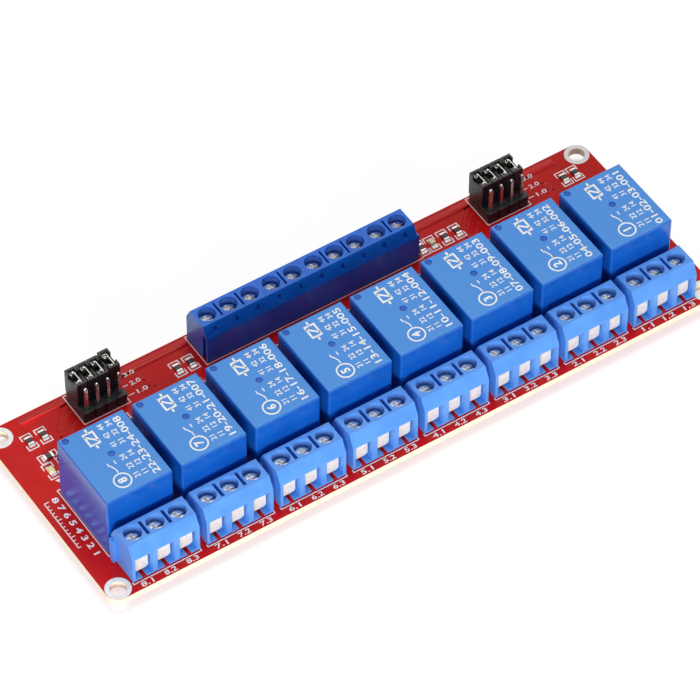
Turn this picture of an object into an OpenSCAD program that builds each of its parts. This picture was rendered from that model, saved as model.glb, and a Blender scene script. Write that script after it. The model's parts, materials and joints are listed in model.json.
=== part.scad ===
// Eight-channel relay module board: a circuit board with eight plug-in style relays, eight
// three-pole screw terminals for the switched loads, a ten-pole screw terminal for the inputs,
// and two blocks of trigger-level jumpers. Millimetres, +Z up, origin on the board's underside
// at the centre of its four mounting holes, +X along the row of relays.

/* [Board] */
// Length of the board past the channels, at each end
end_margin = 4.75; // [4:0.25:10]
// Width of the board along Y
board_w = 50.5; // [49.5:0.5:60]
// Thickness of the board
board_t = 1.6; // [1:0.2:2.4]
// Radius of the board's four corners
corner_r = 2.75; // [0.5:0.25:4]
// Distance of each mounting hole's axis from the two edges nearest to it
hole_inset = 2.75; // [2.5:0.25:3.25]
// Diameter of each mounting hole
hole_d = 3.4; // [2.2:0.1:3.6]
// Clearance round a pin in its hole in the board
pin_hole_gap = 0.15; // [0.1:0.05:0.25]
// Height of a solder fillet under the board
solder_h = 0.9; // [0.4:0.1:1.2]
// Width of the solder ring round a hole
solder_ring = 0.35; // [0.2:0.05:0.4]

/* [Channels] */
// Gap between one relay and the next
channel_gap = 1.6; // [1.2:0.1:6]
// Distance of the output screws from the front edge
out_inset = 6.3; // [5:0.1:7.5]
// Distance of the input screws from the back edge
in_inset = 4.85; // [4:0.05:6.5]
// Sideways shift of each output terminal from its relay
out_shift = 0.4; // [0:0.1:0.6]
// Sideways shift of the input terminal from the middle of the board
in_shift = 0.4; // [-3:0.1:3]
// Gap between an output terminal and the relay behind it
relay_gap = 0.4; // [0.3:0.1:2]

/* [Relay case] */
// Size of the relay across the row
relay_w = 15.4; // [14.6:0.1:16]
// Size of the relay from front to back
relay_l = 19; // [18:0.1:20]
// Height of the relay's case
relay_h = 15.5; // [15.3:0.1:18]
// Height of the relay's feet above the board
relay_foot = 0.3; // [0.2:0.1:0.6]
// Wall of the relay's cover
cover_wall = 0.8; // [0.5:0.1:0.9]
// Top wall of the relay's cover
cover_top = 1; // [0.6:0.1:1.1]
// How far each side of the cover leans in over its height
cover_draft = 0.15; // [0:0.05:0.3]
// Radius of the cover's upright corners
cover_r = 1; // [0.4:0.1:1.5]
// Radius along the cover's top edges
cover_edge_r = 0.45; // [0.2:0.05:0.6]
// Diameter of the two dimples in the cover's top
dimple_d = 1.5; // [0.8:0.1:2]
// Thickness of the relay's base plate
base_t = 2; // [1.4:0.1:2.4]

/* [Relay mechanism] */
// Distance of the end pins from the relay's middle
relay_pin_y = 7.1; // [7:0.05:7.3]
// Distance of the side pins from the relay's sides
relay_pin_inset = 1.7; // [1.5:0.1:1.9]
// Set-back of the two coil pins from the common pin
coil_pin_back = 2; // [1.6:0.1:2.4]
// Width of a relay pin
relay_pin_w = 0.8; // [0.5:0.1:1]
// Thickness of a relay pin
relay_pin_t = 0.4; // [0.3:0.05:0.5]
// Length of each relay pin under the board
relay_tail = 2.2; // [2:0.1:3]
// Thickness of the iron yoke
yoke_t = 1.1; // [0.8:0.1:1.2]
// Width of the iron yoke
yoke_w = 9; // [7:0.5:9.5]
// Diameter of the iron core
core_d = 3; // [2:0.2:3.6]
// Height of the coil's bobbin
bobbin_h = 7.5; // [6.5:0.1:7.6]
// Width of the bobbin's flanges
flange_w = 9.2; // [8:0.2:9.2]
// Depth of wire wound on the bobbin
winding_t = 2.05; // [1:0.05:2.2]
// Thickness of the moving armature
armature_t = 0.9; // [0.6:0.1:1]
// Gap between the core and the resting armature
pole_gap = 0.45; // [0.4:0.05:0.6]
// Diameter of the contacts
contact_d = 1.8; // [1:0.1:2.2]
// Gap between the open contacts
contact_gap = 0.6; // [0.6:0.05:0.8]

/* [Screw terminals] */
// Distance from one pole to the next
term_pitch = 5.08; // [5:0.01:5.2]
// Size of a terminal from front to back
term_depth = 7.9; // [7.5:0.1:9]
// Height of a terminal
term_h = 9.65; // [9.3:0.05:12]
// Height where the upright faces start to slant
shoulder_h = 6.8; // [6.6:0.1:7.4]
// Distance from the screw's axis to the top face's edges
top_half = 2.5; // [2.2:0.1:2.9]
// Diameter of a screw well
well_d = 3.75; // [3.5:0.05:4]
// Width of a wire entry
entry_w = 3.9; // [3.6:0.05:4]
// Height of a wire entry's ceiling
entry_top = 6.4; // [6.3:0.05:6.5]
// Thickness of the floor under a wire entry
floor_t = 0.45; // [0.3:0.05:0.55]
// Distance from the screw's axis to the back of the wire's chamber
chamber_back = 1.8; // [1.75:0.05:1.9]
// End wall of an output terminal
out_end_wall = 0.65; // [0.5:0.05:0.8]
// Width of the slots between wells on the output terminals
out_slot_w = 0.75; // [0.3:0.05:0.8]
// Width of the slots between wells on the input terminal
in_slot_w = 0.45; // [0.3:0.05:0.8]
// Length of the slots between wells
slot_l = 3.8; // [2:0.1:4]
// Depth of the slots between wells
slot_depth = 2.4; // [0.5:0.1:2.6]
// Height of the dovetail rib on a terminal's end
rib_h = 6.6; // [4:0.1:6.6]
// How far the dovetail rib stands out
rib_out = 0.7; // [0.4:0.05:0.8]

/* [Terminal metalwork] */
// How far the screw heads lie below the terminal's top
screw_recess = 2; // [1.8:0.05:2.1]
// Diameter of a screw head
head_d = 3.3; // [2.8:0.05:3.4]
// Height of a screw head
head_h = 1.45; // [1.3:0.05:1.6]
// Diameter of a screw's shank
screw_d = 2.5; // [2:0.1:2.6]
// Thickness of a clamp leaf
leaf_t = 0.4; // [0.3:0.05:0.5]
// Width of a clamp leaf
leaf_w = 3.3; // [2.8:0.05:3.4]
// Height of a closed clamp leaf above the board
leaf_z = 1.1; // [1.05:0.05:2]
// Distance from the screw's axis to the leaf's front
leaf_front = 2.65; // [2.5:0.05:2.9]
// Thickness of a contact's metal
contact_t = 0.4; // [0.3:0.05:0.4]
// Width of a terminal's solder pin
term_pin_w = 0.8; // [0.6:0.05:0.9]
// Thickness of a terminal's solder pin
term_pin_t = 0.6; // [0.5:0.05:0.8]
// Length of each terminal pin under the board
term_tail = 1.9; // [1.2:0.1:2]

/* [Jumper headers] */
// Distance from one header pin to the next
pin_pitch = 2.54; // [2.5:0.01:2.6]
// Distance of each header's middle from the nearer end of the board
header_end = 24.05; // [18:0.1:26]
// Distance of a header's middle row from the back edge
header_inset = 4.9; // [4:0.1:7]
// Height of a header's plastic base
header_base_h = 2.5; // [2:0.1:3]
// Height of the header pins above the board
header_pin_h = 8.5; // [8:0.1:11]
// Width of a header pin
header_pin_w = 0.64; // [0.5:0.02:0.7]
// Length of each header pin under the board
header_tail = 1.4; // [1.2:0.1:2]
// Depth of the notches between the header's cells
header_notch = 0.4; // [0.2:0.05:0.6]

/* [Jumper caps] */
// Width of a jumper cap
cap_w = 2.4; // [2.2:0.02:2.44]
// Length of a jumper cap
cap_l = 5; // [4.8:0.05:5.4]
// Height of a jumper cap
cap_h = 6.1; // [5:0.1:8]
// Side wall of a jumper cap
cap_wall = 0.4; // [0.25:0.05:0.45]
// Length of the notch in the cap's side walls
cap_notch_l = 2.2; // [1:0.1:3]
// Depth of the notch in the cap's side walls
cap_notch_h = 1.3; // [0.5:0.1:2]
// Thickness of the spring clip in a cap
clip_t = 0.2; // [0.15:0.05:0.25]
// Height of the spring clip in a cap
clip_h = 4.3; // [3:0.1:4.5]
// How far the one cap that isn't pushed home stands up
cap_lift = 0.6; // [0:0.1:1]

/* [Small parts] */
// Length of a chip resistor or indicator
chip_l = 2; // [1.6:0.1:2.2]
// Width of a chip resistor or indicator
chip_w = 1.25; // [0.8:0.05:1.3]
// Height of a chip resistor
chip_h = 0.55; // [0.4:0.05:0.7]
// Height of an indicator's lens
lens_h = 0.8; // [0.6:0.05:1]
// Distance of the back row of chips from the back edge
chip_inset = 6.85; // [6:0.05:7.5]
// Length of an optocoupler's body
opto_l = 4.4; // [4:0.1:4.6]
// Width of an optocoupler's body
opto_w = 4.1; // [3.6:0.1:4.4]
// Height of an optocoupler's body
opto_h = 2; // [1.8:0.1:3]
// Length of a diode's body
diode_l = 2.8; // [2.5:0.1:3]
// Width of a diode's body
diode_w = 1.8; // [1.5:0.1:2]
// Height of a diode's body
diode_h = 1.3; // [1:0.1:1.6]
// Length of a transistor's body
transistor_l = 2.9; // [2.5:0.1:3.1]
// Width of a transistor's body
transistor_w = 1.3; // [1.2:0.1:1.6]
// Height of a transistor's body
transistor_h = 1; // [0.9:0.1:1.3]

/* [Hidden] */
channels = 8;
out_poles = 3;
in_modules = [3, 2, 3, 2];
header_cols = 4;
header_rows = 3;
fit = 0.05;
joint_gap = 0.02;
cut = 1;

// Board
channel_pitch = relay_w + channel_gap;
board_l = channels * channel_pitch + 2 * end_margin;
hole_x = board_l / 2 - hole_inset;
hole_y = board_w / 2 - hole_inset;
front_edge = -board_w / 2;
back_edge = board_w / 2;

// Rows on the board
out_y = front_edge + out_inset;
in_y = back_edge - in_inset;
relay_y = out_y + term_depth / 2 + relay_gap + relay_l / 2;
relay_back = relay_y + relay_l / 2;
aisle = in_y - term_depth / 2 - relay_back;
header_y = back_edge - header_inset;
chip_y = back_edge - chip_inset;

// Relay case, from the underside of its base
cavity_w = relay_w - 2 * (cover_wall + cover_draft);
cavity_l = relay_l - 2 * (cover_wall + cover_draft);
cavity_top = relay_h - cover_top;
dimple_depth = cover_top / 4;
dimples = [[-relay_w / 2 + 1.5, relay_l / 2 - 1.3], [-0.2, 0.8]];
foot_d = 1.6;
foot_in = 1.6;
relay_pin_x = relay_w / 2 - relay_pin_inset;
relay_pins_xy = [
    [0, relay_pin_y],
    [-relay_pin_x, relay_pin_y - coil_pin_back],
    [relay_pin_x, relay_pin_y - coil_pin_back],
    [-relay_pin_x, -relay_pin_y],
    [relay_pin_x, -relay_pin_y]
];

// Relay mechanism, heights from the underside of the relay's base
flange_t = 0.7;
tube_t = 0.65;
cap_over_core = 1.3;
core_cap_h = 0.6;
com_gap = 0.3;
yoke_back = relay_pin_y - relay_pin_t / 2 - com_gap;
pivot_y = yoke_back - yoke_t;
coil_y = pivot_y - com_gap - flange_w / 2;
coil_z = base_t + yoke_t;
coil_top = coil_z + bobbin_h;
core_top = coil_top + core_cap_h;
armature_z = core_top + pole_gap;
pivot_z = armature_z - fit;
spring_t = 0.25;
spring_z = armature_z + armature_t;
spring_w = 3;
spring_front = -relay_pin_y - 0.6;
contact_y = -relay_pin_y + 0.5;
contact_half = contact_d / 2;
button_h = 0.4;
moving_low = spring_z - 0.45;
moving_high = spring_z + spring_t + button_h;
strip_t = 0.3;
strip_w = 1.6;
armature_front = coil_y - flange_w / 2;
coil_post_h = 2.6;

// Terminals, heights from the board's top
chamber_front = -term_depth / 2;
out_w = (out_poles - 1) * term_pitch + entry_w + 2 * out_end_wall;
in_end_wall = (term_pitch - entry_w) / 2 - joint_gap / 2;
in_w = term_pitch * sum(in_modules);
floor_slot_w = term_pin_w + 4 * fit;
rib_y = (chamber_back + term_depth / 2) / 2;
rib_root = 0.45;
rib_tip = 0.7;
notch_w = 0.75;
notch_l = 1.3;
notch_depth = 0.5;
screw_top = term_h - screw_recess;
head_z = screw_top - head_h;
leaf_top = head_z - leaf_t;
thread_top = leaf_top - 3 * fit;
leaf_back = chamber_back - 2 * fit;
leaf_corner_r = 0.8;
contact_front = 1.7;
recess_w = 0.55;
recess_h = 0.7;

// Headers and jumper caps
header_x = board_l / 2 - header_end;
header_w = header_cols * pin_pitch;
header_l = header_rows * pin_pitch;
cap_y = header_y + pin_pitch / 2;
cap_z = header_base_h + fit;
clip_in = header_pin_w / 2 + 0.08;
clip_l = pin_pitch + header_pin_w + 2 * 0.1;
clip_grip = 0.75;
lifted_cap = header_cols + 1;

// Small parts of a channel, as [x, y] from the relay's middle and its back face. They share
// out the aisle between the relays and the input terminals.
lamp_at = [-6.3, 0.44 * aisle];
lamp_resistor_at = [-4.9, 0.714 * aisle];
opto_at = [3.2, aisle / 2];
diode_at = [-3, 0.7 + diode_w / 2];
transistor_at = [-2.2, 0.56 * aisle];
opto_reach = 1.3;
lead_t = 0.25;

// Chips in the back row, by their distance from the board's ends and the input terminals' ends
pull_resistors_x = concat(
    [for (d = [7.15, 10.35]) d - board_l / 2],
    [for (d = [5.9, 2.8]) in_shift - in_w / 2 - d],
    [for (d = [2.3, 8.1, 11.2]) in_shift + in_w / 2 + d],
    [for (d = [8.85, 6.05]) board_l / 2 - d]
);
power_lamp_x = in_shift + in_w / 2 + 5;

// ---------------------------------------------------------------- places

function numbered(name, count) = [for (k = [1 : count]) str(name, k)];
function sum(list, upto = undef) =
    let (n = is_undef(upto) ? len(list) : upto)
    n == 0 ? 0 : list[n - 1] + sum(list, n - 1);

// Channel 1 is at the right, the last one at the left
function channel_x(k) = ((channels + 1) / 2 - k) * channel_pitch;
function out_x(k) = channel_x(k) + out_shift;
function pole_x(i, poles) = (i - (poles - 1) / 2) * term_pitch;

// Middle of input module m, counted from the left
function module_x(m) =
    in_shift - in_w / 2 + term_pitch * (sum(in_modules, m - 1) + in_modules[m - 1] / 2);

// The right header carries caps 1 to 4, the left one caps 5 to 8, each from right to left
function cap_x(k) =
    k <= header_cols
        ? header_x + ((header_cols + 1) / 2 - k) * pin_pitch
        : -header_x + ((3 * header_cols + 1) / 2 - k) * pin_pitch;

out_pins = [for (k = [1 : channels], i = [0 : out_poles - 1])
    [out_x(k) + pole_x(i, out_poles), out_y]];
in_pins = [for (m = [1 : len(in_modules)], i = [0 : in_modules[m - 1] - 1])
    [module_x(m) + pole_x(i, in_modules[m - 1]), in_y]];
relay_pins_all = [for (k = [1 : channels], p = relay_pins_xy)
    [channel_x(k) + p.x, relay_y + p.y]];
header_grid = [for (c = [0 : header_cols - 1], r = [0 : header_rows - 1])
    [(c - (header_cols - 1) / 2) * pin_pitch, (r - (header_rows - 1) / 2) * pin_pitch]];
header_pins_all = [for (s = [-1, 1], p = header_grid) [s * header_x + p.x, header_y + p.y]];

function half_diagonal(w, t) = norm([w, t]) / 2;
term_pin_r = half_diagonal(term_pin_w, term_pin_t);
relay_pin_r = half_diagonal(relay_pin_w, relay_pin_t);
header_pin_r = half_diagonal(header_pin_w, header_pin_w);

// Every soldered pin with the radius that its hole has to clear
soldered_pins = concat(
    [for (p = out_pins) [p.x, p.y, term_pin_r]],
    [for (p = in_pins) [p.x, p.y, term_pin_r]],
    [for (p = relay_pins_all) [p.x, p.y, relay_pin_r]],
    [for (p = header_pins_all) [p.x, p.y, header_pin_r]]
);

module on_board() {
    translate([0, 0, board_t]) children();
}

module at_relay(k) {
    translate([channel_x(k), relay_y, board_t + relay_foot]) children();
}

module every_relay() {
    for (k = [1 : channels]) at_relay(k) children();
}

module at_part(k, spot) {
    translate([channel_x(k) + spot.x, relay_back + spot.y, board_t]) children();
}

module every_part(spot) {
    for (k = [1 : channels]) at_part(k, spot) children();
}

module at_points(points, z = board_t, turn = 0) {
    for (p = points) translate([p.x, p.y, z]) rotate([0, 0, turn]) children();
}

// ---------------------------------------------------------------- shapes

module rounded_rect(w, l, r) {
    square([w - 2 * r, l], center = true);
    square([w, l - 2 * r], center = true);
    for (x = [-1, 1], y = [-1, 1])
        translate([x * (w / 2 - r), y * (l / 2 - r)]) circle(r = r, $fn = 32);
}

// A box that stands on z = 0, centred in plan
module block(w, l, h) {
    translate([-w / 2, -l / 2, 0]) cube([w, l, h]);
}

// A box from one corner to the other
module span(low, high) {
    translate(low) cube(high - low);
}

// Extrudes a (Y, Z) outline along X, centred
module along_x(width) {
    rotate([90, 0, 90]) translate([0, 0, -width / 2]) linear_extrude(width) children();
}

// Extrudes an (X, Z) outline along Y, centred
module along_y(length) {
    rotate([90, 0, 0]) translate([0, 0, -length / 2]) linear_extrude(length) children();
}

// Outline of a case that leans in by draft at each side and has rounded top corners
module drafted_outline(w, h, draft, r) {
    corner = [w / 2 - draft - r, h - r];
    arc = [for (a = [0 : 30 : 90]) corner + r * [cos(a), sin(a)]];
    polygon(concat(
        [[-w / 2, 0], [w / 2, 0]],
        arc,
        [for (i = [len(arc) - 1 : -1 : 0]) [-arc[i].x, arc[i].y]]
    ));
}

// ---------------------------------------------------------------- board

module circuit_board() {
    color("firebrick") difference() {
        linear_extrude(board_t) rounded_rect(board_l, board_w, corner_r);
        for (x = [-hole_x, hole_x], y = [-hole_y, hole_y])
            translate([x, y, -cut]) cylinder(d = hole_d, h = board_t + 2 * cut, $fn = 48);
        for (p = soldered_pins)
            translate([p.x, p.y, -cut])
                cylinder(r = p.z + pin_hole_gap, h = board_t + 2 * cut, $fn = 24);
    }
}

module solder_joints() {
    color("silver") for (p = soldered_pins)
        translate([p.x, p.y, 0]) rotate_extrude($fn = 24) polygon([
            [p.z + fit, 0],
            [p.z + pin_hole_gap + solder_ring, 0],
            [p.z + fit + solder_ring / 3, -solder_h],
            [p.z + fit, -solder_h]
        ]);
}

// ---------------------------------------------------------------- relays

module relay_cover(k) {
    color("royalblue") at_relay(k) difference() {
        intersection() {
            along_y(relay_l) drafted_outline(relay_w, relay_h, cover_draft, cover_edge_r);
            along_x(relay_w) drafted_outline(relay_l, relay_h, cover_draft, cover_edge_r);
            linear_extrude(relay_h) rounded_rect(relay_w, relay_l, cover_r);
        }
        translate([0, 0, -cut])
            linear_extrude(cavity_top + cut) rounded_rect(cavity_w, cavity_l, cover_r / 2);
        for (d = dimples)
            translate([d.x, d.y, relay_h - dimple_depth])
                cylinder(d = dimple_d, h = cut, $fn = 24);
    }
}

module relay_bases() {
    foot_x = cavity_w / 2 - foot_in;
    foot_y = cavity_l / 2 - foot_in;
    color("midnightblue") every_relay() difference() {
        union() {
            linear_extrude(base_t)
                rounded_rect(cavity_w - 2 * fit, cavity_l - 2 * fit, cover_r / 2);
            for (x = [-foot_x, foot_x], y = [-foot_y / 2, foot_y / 2])
                translate([x, y, -relay_foot]) cylinder(d = foot_d, h = base_t, $fn = 24);
        }
        for (p = relay_pins_xy)
            translate([p.x, p.y, -cut])
                block(relay_pin_w + 2 * fit, relay_pin_t + 2 * fit, base_t + 2 * cut);
    }
}

// One pin from its tail under the board to the top of the relay's base
module relay_pin(top) {
    below = relay_foot + board_t + relay_tail;
    translate([0, 0, -below]) block(relay_pin_w, relay_pin_t, below + top);
}

// A fixed contact: pin, upright strip, a plate that reaches the middle of the relay, and its button
module fixed_contact(side, plate_z, button_low, button_high) {
    inner = side * (relay_pin_x - strip_w / 2);
    outer = side * (relay_pin_x + relay_pin_w / 2);
    reach = -side * contact_half;
    front = -relay_pin_y - relay_pin_t / 2;
    translate([side * relay_pin_x, -relay_pin_y, 0]) relay_pin(base_t);
    span([min(inner, outer), front, base_t],
         [max(inner, outer), front + relay_pin_t, plate_z + strip_t]);
    span([min(reach, outer), front, plate_z],
         [max(reach, outer), contact_y + contact_half, plate_z + strip_t]);
    translate([0, contact_y, button_low])
        cylinder(d = contact_d, h = button_high - button_low, $fn = 24);
}

module relay_pins() {
    closing_top = moving_low - contact_gap;
    closing_plate = closing_top - button_h - strip_t;
    resting_low = moving_high + fit;
    resting_plate = resting_low + button_h;
    color("goldenrod") every_relay() {
        translate([0, relay_pin_y, 0]) {
            relay_pin(base_t);
            translate([0, 0, base_t]) block(spring_w, relay_pin_t, spring_z - fit - base_t);
        }
        for (x = [-relay_pin_x, relay_pin_x])
            translate([x, relay_pin_y - coil_pin_back, 0]) relay_pin(base_t + coil_post_h);
        fixed_contact(-1, closing_plate, closing_plate, closing_top);
        fixed_contact(1, resting_plate, resting_low, resting_plate + strip_t);
    }
}

module relay_yokes() {
    color("dimgray") every_relay() difference() {
        along_x(yoke_w) {
            translate([armature_front, base_t]) square([yoke_back - armature_front, yoke_t]);
            translate([pivot_y, base_t]) square([yoke_t, pivot_z - base_t]);
        }
        translate([0, coil_y, base_t - cut])
            cylinder(d = core_d + 2 * fit, h = yoke_t + 2 * cut, $fn = 32);
    }
}

module relay_cores() {
    color("gainsboro") every_relay() translate([0, coil_y, 0]) {
        translate([0, 0, base_t]) cylinder(d = core_d, h = coil_top - base_t, $fn = 32);
        translate([0, 0, coil_top])
            cylinder(d = core_d + 2 * cap_over_core, h = core_cap_h, $fn = 32);
    }
}

module relay_bobbins() {
    bore = core_d + 2 * fit;
    color("black") every_relay() translate([0, coil_y, coil_z]) difference() {
        union() {
            linear_extrude(flange_t) rounded_rect(flange_w, flange_w, cover_r);
            cylinder(d = bore + 2 * tube_t, h = bobbin_h, $fn = 32);
            translate([0, 0, bobbin_h - flange_t])
                linear_extrude(flange_t) rounded_rect(flange_w, flange_w, cover_r);
        }
        translate([0, 0, -cut]) cylinder(d = bore, h = bobbin_h + 2 * cut, $fn = 32);
    }
}

module relay_windings() {
    inner = core_d / 2 + fit + tube_t + fit;
    color("sienna") every_relay() translate([0, coil_y, coil_z])
        rotate_extrude($fn = 48) translate([inner, flange_t])
            square([winding_t, bobbin_h - 2 * flange_t]);
}

// The plate that the core pulls down, with the contact spring riveted on it
module relay_armature(k) {
    color("silver") at_relay(k) {
        span([-yoke_w / 2 + fit, armature_front, armature_z],
             [yoke_w / 2 - fit, yoke_back, spring_z]);
        span([-spring_w / 2, spring_front, spring_z],
             [spring_w / 2, yoke_back, spring_z + spring_t]);
        translate([0, contact_y, moving_low])
            cylinder(d = contact_d, h = moving_high - moving_low, $fn = 24);
    }
}

// ---------------------------------------------------------------- screw terminals

// Outline of a terminal from the side, with the screw's axis at 0 and the entries at -Y
module terminal_outline() {
    half = term_depth / 2;
    polygon([
        [-half, 0], [-half, shoulder_h], [-top_half, term_h],
        [top_half, term_h], [half, shoulder_h], [half, 0]
    ]);
}

// Dovetail in plan, standing out towards -X; grow widens it for the groove
module dovetail(grow) {
    translate([0, rib_y, -grow]) linear_extrude(rib_h + 2 * grow) polygon([
        [cut * grow, -rib_root - grow], [-rib_out - grow, -rib_tip - grow],
        [-rib_out - grow, rib_tip + grow], [cut * grow, rib_root + grow]
    ]);
}

// What one pole takes out of the housing
module pole_cut() {
    slope = atan2(term_h - shoulder_h, term_depth / 2 - top_half);
    front = chamber_front - cut;
    translate([0, 0, entry_top - fit]) cylinder(d = well_d, h = term_h, $fn = 40);
    span([-entry_w / 2, front, floor_t], [entry_w / 2, chamber_back, entry_top]);
    span([-floor_slot_w / 2, front, -cut], [floor_slot_w / 2, term_pin_t / 2 + fit, term_h / 2]);
    translate([0, (term_depth / 2 + top_half) / 2, (term_h + shoulder_h) / 2])
        rotate([90 - slope, 0, 0])
            cube([notch_w, 2 * notch_depth, notch_l], center = true);
}

module terminal_housing(poles, end_wall, slot_w) {
    width = (poles - 1) * term_pitch + entry_w + 2 * end_wall;
    difference() {
        union() {
            along_x(width) terminal_outline();
            translate([-width / 2, 0, 0]) dovetail(0);
        }
        for (i = [0 : poles - 1]) translate([pole_x(i, poles), 0, 0]) pole_cut();
        for (i = [1 : poles - 1])
            translate([pole_x(i - 0.5, poles), 0, term_h - slot_depth])
                block(slot_w, slot_l, slot_depth + cut);
        translate([width / 2, 0, 0]) dovetail(2 * fit);
    }
}

module output_terminal(k) {
    color("dodgerblue") on_board() translate([out_x(k), out_y, 0])
        terminal_housing(out_poles, out_end_wall, out_slot_w);
}

module input_terminal(m) {
    color("dodgerblue") on_board() translate([module_x(m), in_y, 0]) rotate([0, 0, 180])
        terminal_housing(in_modules[m - 1], in_end_wall, in_slot_w);
}

module terminal_screw() {
    tip = leaf_z + leaf_t;
    difference() {
        union() {
            translate([0, 0, head_z]) cylinder(d = head_d, h = head_h, $fn = 40);
            translate([0, 0, tip]) cylinder(d = screw_d, h = head_z - tip + fit, $fn = 32);
        }
        translate([0, 0, screw_top - recess_h]) {
            block(head_d + cut, recess_w, recess_h + cut);
            block(recess_w, head_d * 0.7, recess_h + cut);
        }
    }
}

// Front of a clamp leaf, with round lower corners
module leaf_outline() {
    r = leaf_corner_r;
    translate([-leaf_w / 2, leaf_z + r]) square([leaf_w, head_z - leaf_z - r]);
    translate([-leaf_w / 2 + r, leaf_z]) square([leaf_w - 2 * r, r + fit]);
    for (x = [-1, 1]) translate([x * (leaf_w / 2 - r), leaf_z + r]) circle(r = r, $fn = 32);
}

// The leaf that the screw pushes down on the wire, bent from one strip
module clamp_leaf() {
    translate([0, -leaf_front + leaf_t / 2, 0]) along_y(leaf_t) leaf_outline();
    difference() {
        span([-leaf_w / 2, -leaf_front, leaf_top], [leaf_w / 2, leaf_back, head_z]);
        translate([0, 0, leaf_top - cut])
            cylinder(d = screw_d + 6 * fit, h = leaf_t + 2 * cut, $fn = 32);
    }
    span([-leaf_w / 2 + leaf_corner_r, -leaf_front, leaf_z],
         [leaf_w / 2 - leaf_corner_r, screw_d / 2, leaf_z + leaf_t]);
}

// The fixed contact: foot, rear wall and threaded bridge bent from one strip, and a pin
module terminal_contact() {
    back = chamber_back - fit;
    below = board_t + term_tail;
    difference() {
        along_x(leaf_w) {
            translate([-contact_front, floor_t]) square([contact_front + back, contact_t]);
            translate([back - contact_t, floor_t]) square([contact_t, thread_top - floor_t]);
            translate([-contact_front, thread_top - contact_t])
                square([contact_front + back, contact_t]);
        }
        translate([0, 0, thread_top - contact_t - cut / 2])
            cylinder(d = screw_d + 2 * fit, h = contact_t + cut, $fn = 32);
    }
    translate([0, 0, -below]) block(term_pin_w, term_pin_t, below + floor_t + fit);
}

module output_screws() {
    color("silver") at_points(out_pins) terminal_screw();
}

module output_clamps() {
    color("gainsboro") at_points(out_pins) clamp_leaf();
}

module output_contacts() {
    color("silver") at_points(out_pins) terminal_contact();
}

module input_screws() {
    color("silver") at_points(in_pins, turn = 180) terminal_screw();
}

module input_clamps() {
    color("gainsboro") at_points(in_pins, turn = 180) clamp_leaf();
}

module input_contacts() {
    color("silver") at_points(in_pins, turn = 180) terminal_contact();
}

// ---------------------------------------------------------------- jumper headers

// Plan of a header's base: cells in a row, with notches between them and cut corners
module header_outline() {
    back = [for (c = [0 : header_cols], s = [-1 : 1])
        let (x = (c - header_cols / 2) * pin_pitch + s * header_notch)
        if (abs(x) < header_w / 2 + fit) [x, header_l / 2 - (1 - abs(s)) * header_notch]];
    front = [for (n = [len(back) - 1 : -1 : 0]) [back[n].x, -back[n].y]];
    polygon(concat(back, front));
}

module header_base(side) {
    hole = header_pin_w + fit;
    color("black") on_board() translate([side * header_x, header_y, 0])
        linear_extrude(header_base_h) difference() {
            header_outline();
            for (p = header_grid) translate(p) square(hole, center = true);
        }
}

// A square pin with its two ends chamfered on all sides
module header_pin() {
    low = -board_t - header_tail;
    half = header_pin_w / 2;
    tip = half / 2;
    outline = [
        [-half, low + half], [-tip, low], [tip, low], [half, low + half],
        [half, header_pin_h - half], [tip, header_pin_h],
        [-tip, header_pin_h], [-half, header_pin_h - half]
    ];
    intersection() {
        along_x(header_pin_w) polygon(outline);
        along_y(header_pin_w) polygon(outline);
    }
}

module header_pins() {
    color("gold") at_points(header_pins_all) header_pin();
}

// Spring clip in plan: a back strip with a hook round each pin
module clip_outline() {
    back = clip_in + clip_t;
    for (m = [0, 1]) mirror([0, m]) {
        translate([clip_in, -clip_t]) square([clip_t, clip_l / 2 + 2 * clip_t]);
        translate([-back, clip_l / 2]) square([2 * back, clip_t]);
        translate([-back, clip_l / 2 - clip_grip]) square([clip_t, clip_grip + clip_t]);
    }
}

module jumper_cap(k) {
    lift = k == lifted_cap ? cap_lift : 0;
    pocket_w = cap_w - 2 * cap_wall;
    pocket_l = clip_l + 2 * clip_t + 2 * fit;
    color("black") translate([cap_x(k), cap_y, board_t + cap_z + lift]) {
        difference() {
            block(cap_w, cap_l, cap_h);
            translate([0, 0, -cut]) block(pocket_w, pocket_l, cap_h + 2 * cut);
            translate([0, 0, cap_h - cap_notch_h])
                block(cap_w + cut, cap_notch_l, cap_notch_h + cut);
        }
        translate([0, 0, cap_h - cap_notch_h / 2 - clip_h]) linear_extrude(clip_h) clip_outline();
    }
}

// ---------------------------------------------------------------- small parts

// A chip resistor along Y, with end caps that stand a little proud
module chip() {
    block(chip_w - fit, chip_l - fit, chip_h - fit);
    for (y = [-1, 1]) translate([0, y * (chip_l - chip_l / 5) / 2, 0])
        block(chip_w, chip_l / 5, chip_h);
}

// A chip indicator along Y: a flat carrier with a lens on it
module lamp() {
    block(chip_w, chip_l, lens_h / 3);
    block(chip_w - 2 * fit, chip_l * 0.6, lens_h);
}

// A stepped lead that leaves a body towards +X and lands on the board
module lead(width, reach, height) {
    translate([-lead_t, 0, 0]) along_x_from(reach / 2 + lead_t)
        translate([-width / 2, height]) square([width, lead_t]);
    translate([reach / 2 - lead_t, -width / 2, 0]) cube([lead_t, width, height + lead_t]);
    translate([reach / 2 - lead_t, -width / 2, 0]) cube([reach / 2 + lead_t, width, lead_t]);
}

module along_x_from(length) {
    rotate([90, 0, 90]) linear_extrude(length) children();
}

module resistors() {
    color("dimgray") {
        at_points([for (x = pull_resistors_x) [x, chip_y]]) chip();
        every_part(lamp_resistor_at) rotate([0, 0, 90]) chip();
    }
}

module indicators() {
    color("ivory") {
        at_points([[power_lamp_x, chip_y]]) lamp();
        every_part(lamp_at) lamp();
    }
}

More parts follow.
